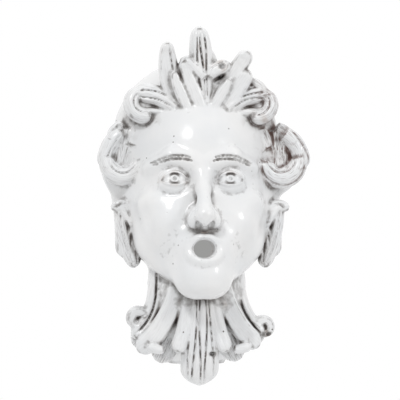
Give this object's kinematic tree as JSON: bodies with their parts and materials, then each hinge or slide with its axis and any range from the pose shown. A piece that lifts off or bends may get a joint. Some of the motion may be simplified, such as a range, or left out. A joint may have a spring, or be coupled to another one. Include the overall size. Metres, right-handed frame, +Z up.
{
  "type": "fountain mask",
  "caption": "Wall fountain mask in white glazed earthenware: a calm face with an open spout mouth, a leaf crown, rolled locks and an acanthus collar, hollow and open behind.",
  "frame": {"origin": "on the flat back that lies against the wall, mid-width, on the solid clay just below the hollow", "axes": "+Z up, +Y into the wall, the face looks along -Y"},
  "size_m": [0.2601, 0.1471, 0.4334],
  "materials": {
    "white_glaze": "glossy white tin glaze with grey-brown dirt in the hollows and pinholes"
  },
  "bodies": {
    "root": {"fountain_mask": "white_glaze"}
  },
  "joints": []
}
